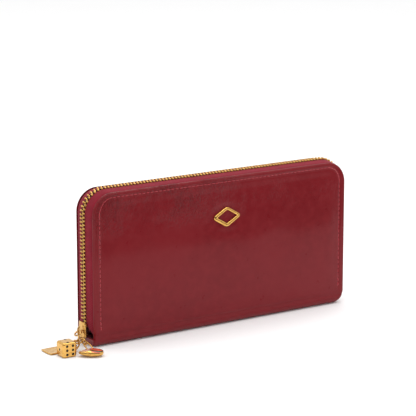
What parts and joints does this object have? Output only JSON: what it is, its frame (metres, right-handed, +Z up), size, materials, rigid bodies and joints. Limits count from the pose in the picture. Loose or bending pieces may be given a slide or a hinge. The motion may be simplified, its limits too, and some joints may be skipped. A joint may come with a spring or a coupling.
{
  "type": "long zip-around wallet",
  "caption": "Long accordion wallet with a zip round three sides, inner card slots and coin pocket, and a chain of charms on the slider.",
  "frame": {"origin": "middle of the flat of the spine, which the wallet stands on", "axes": "+X along the wallet's length, away from the slider; -Y out of the front cover; +Z up"},
  "size_m": [0.2302, 0.0416, 0.1011],
  "materials": {
    "red_leather": "glazed, fine grain",
    "lining_leather": "smooth matt",
    "board": "plain",
    "zip_tape": "woven tape",
    "brass": "polished",
    "polished_brass": "bright polish"
  },
  "bodies": {
    "back_half": {"back_cover": "red_leather", "back_board": "board", "back_lining": "lining_leather", "back_card_strip_1": "lining_leather", "back_card_strip_2": "lining_leather", "back_card_strip_3": "lining_leather", "back_card_strip_4": "lining_leather", "spine_cover": "red_leather", "spine_board": "board", "back_zip_tape": "zip_tape", "back_teeth_row": "brass", "back_top_stop": "brass", "zip_bottom_stop": "brass", "gusset_left": "lining_leather", "gusset_right": "lining_leather"},
    "front_half": {"front_cover": "red_leather", "front_board": "board", "front_lining": "lining_leather", "front_card_strip_1": "lining_leather", "front_card_strip_2": "lining_leather", "front_card_strip_3": "lining_leather", "front_card_strip_4": "lining_leather", "front_zip_tape": "zip_tape", "front_teeth_row": "brass", "front_top_stop": "brass", "emblem": "polished_brass", "emblem_washer": "brass"},
    "centre_pocket": {"pocket_front_wall": "lining_leather", "pocket_back_wall": "lining_leather", "pocket_foot_strip": "lining_leather", "pocket_front_tape": "zip_tape", "pocket_back_tape": "zip_tape", "pocket_front_teeth": "brass", "pocket_back_teeth": "brass"},
    "pocket_zip_slider": {"pocket_slider": "brass"},
    "pocket_zip_pull": {"pocket_pull": "brass"},
    "zip_slider": {"slider_body": "brass", "slider_bail": "brass"},
    "round_link": {"round_link": "brass"},
    "long_link": {"long_link": "brass"},
    "jump_ring": {"jump_ring": "brass"},
    "die": {"die_ring": "brass", "die_charm": "polished_brass"},
    "petal": {"petal_ring": "brass", "petal_charm": "polished_brass"},
    "tag": {"tag_ring": "brass", "tag_charm": "polished_brass"}
  },
  "joints": [
    {"name": "front_open", "type": "hinge", "parent": "back_half", "child": "front_half", "pos_m": [0, -0.0095, 0.003], "axis": [1, 0, 0], "range_deg": [0, 60], "deforming": ["gusset_left", "gusset_right"]},
    {"name": "pocket_follow", "type": "hinge", "parent": "back_half", "child": "centre_pocket", "pos_m": [0, -0.0095, 0.003], "axis": [1, 0, 0], "range_deg": [0, 30]},
    {"name": "pocket_zip_slide", "type": "slide", "parent": "centre_pocket", "child": "pocket_zip_slider", "axis": [1, 0, 0], "range_m": [0, 0.16]},
    {"name": "pocket_pull_flip", "type": "hinge", "parent": "pocket_zip_slider", "child": "pocket_zip_pull", "pos_m": [-0.082, 0, 0.0824], "axis": [0, -1, 0], "range_deg": [0, 160]},
    {"name": "zip_slide", "type": "slide", "parent": "back_half", "child": "zip_slider", "axis": [0, 0, 1], "range_m": [0, 0.062]},
    {"name": "round_link_swing", "type": "hinge", "parent": "zip_slider", "child": "round_link", "pos_m": [-0.1027, -0.0004, 0.0099], "axis": [0, 1, 0], "range_deg": [0, 40]},
    {"name": "long_link_swing", "type": "hinge", "parent": "round_link", "child": "long_link", "pos_m": [-0.1051, -0.0016, 0.00845], "axis": [-1, 0, 0], "range_deg": [0, 25]},
    {"name": "jump_ring_swing", "type": "hinge", "parent": "long_link", "child": "jump_ring", "pos_m": [-0.1074, -0.0066, 0.0067], "axis": [0, 1, 0], "range_deg": [0, 20]},
    {"name": "die_swing", "type": "hinge", "parent": "jump_ring", "child": "die", "pos_m": [-0.1096, -0.0105, 0.0058], "axis": [0, 1, 0], "range_deg": [0, 15]},
    {"name": "petal_swing", "type": "hinge", "parent": "jump_ring", "child": "petal", "pos_m": [-0.1084, -0.0113, 0.0066], "axis": [-1, 0, 0], "range_deg": [0, 15]},
    {"name": "tag_swing", "type": "hinge", "parent": "jump_ring", "child": "tag", "pos_m": [-0.1095, -0.0088, 0.0058], "axis": [0, 1, 0], "range_deg": [0, 8]}
  ],
  "couplings": [
    {"joint": "pocket_follow", "follows": "front_open", "ratio": 0.5}
  ]
}
